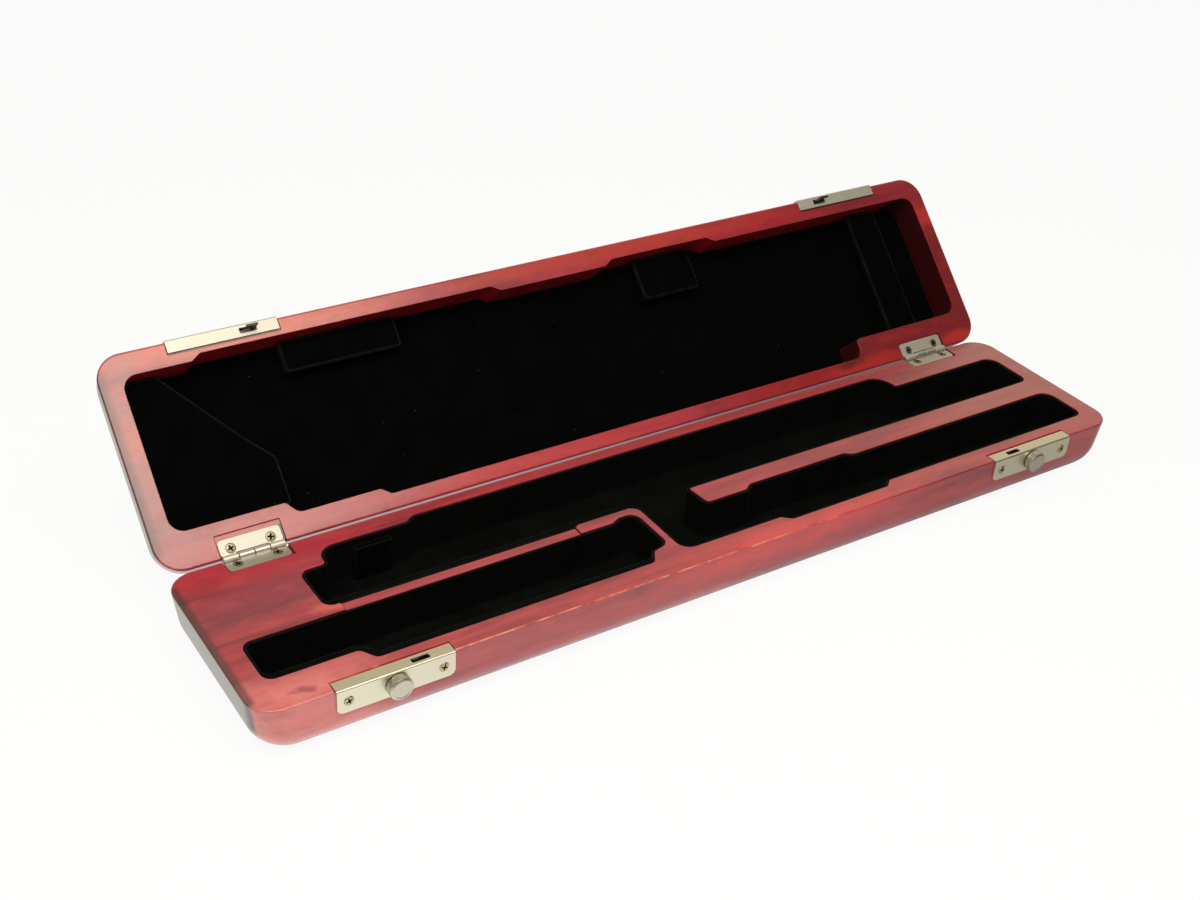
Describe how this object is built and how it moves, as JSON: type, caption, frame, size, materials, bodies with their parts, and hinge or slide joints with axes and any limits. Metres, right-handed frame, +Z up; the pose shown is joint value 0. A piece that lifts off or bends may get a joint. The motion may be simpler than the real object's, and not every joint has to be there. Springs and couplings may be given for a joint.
{
  "type": "flute case",
  "caption": "Hinged hardwood flute case, stored open, with velvet-lined bays for the three joints and two slide latches.",
  "frame": {"origin": "middle of the base's flat underside", "axes": "+X along the case towards the headjoint end, +Y towards the hinges, +Z up"},
  "size_m": [0.4198, 0.165, 0.0892],
  "materials": {
    "base_wood": "satin",
    "slat_wood": "satin",
    "lid_wood": "satin",
    "velvet": "matte",
    "nickel_plate": "satin",
    "steel": "satin"
  },
  "bodies": {
    "base": {"base_shell": "base_wood", "divider_slat": "slat_wood", "base_lining_long": "velvet", "base_lining_foot": "velvet", "key_rest_block": "velvet", "lip_plate_rest": "velvet", "hinge_base_leaf_left": "nickel_plate", "hinge_base_leaf_right": "nickel_plate", "hinge_pin_left": "steel", "hinge_pin_right": "steel", "hinge_base_screws": "steel", "latch_plate_left": "nickel_plate", "latch_plate_right": "nickel_plate", "latch_screws": "steel", "latch_spring_left": "steel", "latch_spring_right": "steel"},
    "lid": {"lid_shell": "lid_wood", "lid_panel": "velvet", "lid_pad_crown": "velvet", "lid_pad_foot": "velvet", "lid_pad_lip": "velvet", "lid_pad_socket": "velvet", "hinge_lid_leaf_left": "nickel_plate", "hinge_lid_leaf_right": "nickel_plate", "hinge_lid_screws": "steel", "strike_plate_left": "nickel_plate", "strike_plate_right": "nickel_plate", "strike_hook_left": "steel", "strike_hook_right": "steel", "strike_screws": "steel"},
    "slide_left": {"latch_slide_left": "steel", "latch_knob_left": "nickel_plate"},
    "slide_right": {"latch_slide_right": "steel", "latch_knob_right": "nickel_plate"}
  },
  "joints": [
    {"name": "lid_hinge", "type": "hinge", "parent": "base", "child": "lid", "pos_m": [0, 0.0443, 0.02415], "axis": [1, 0, 0], "range_deg": [0, 135]},
    {"name": "latch_slide_left", "type": "slide", "parent": "base", "child": "slide_left", "axis": [-1, 0, 0], "range_m": [0, 0.0028], "stiffness_N_per_m": 200, "springref_m": -0.003, "deforming": ["latch_spring_left"]},
    {"name": "latch_slide_right", "type": "slide", "parent": "base", "child": "slide_right", "axis": [1, 0, 0], "range_m": [0, 0.0028], "stiffness_N_per_m": 200, "springref_m": -0.003, "deforming": ["latch_spring_right"]}
  ]
}
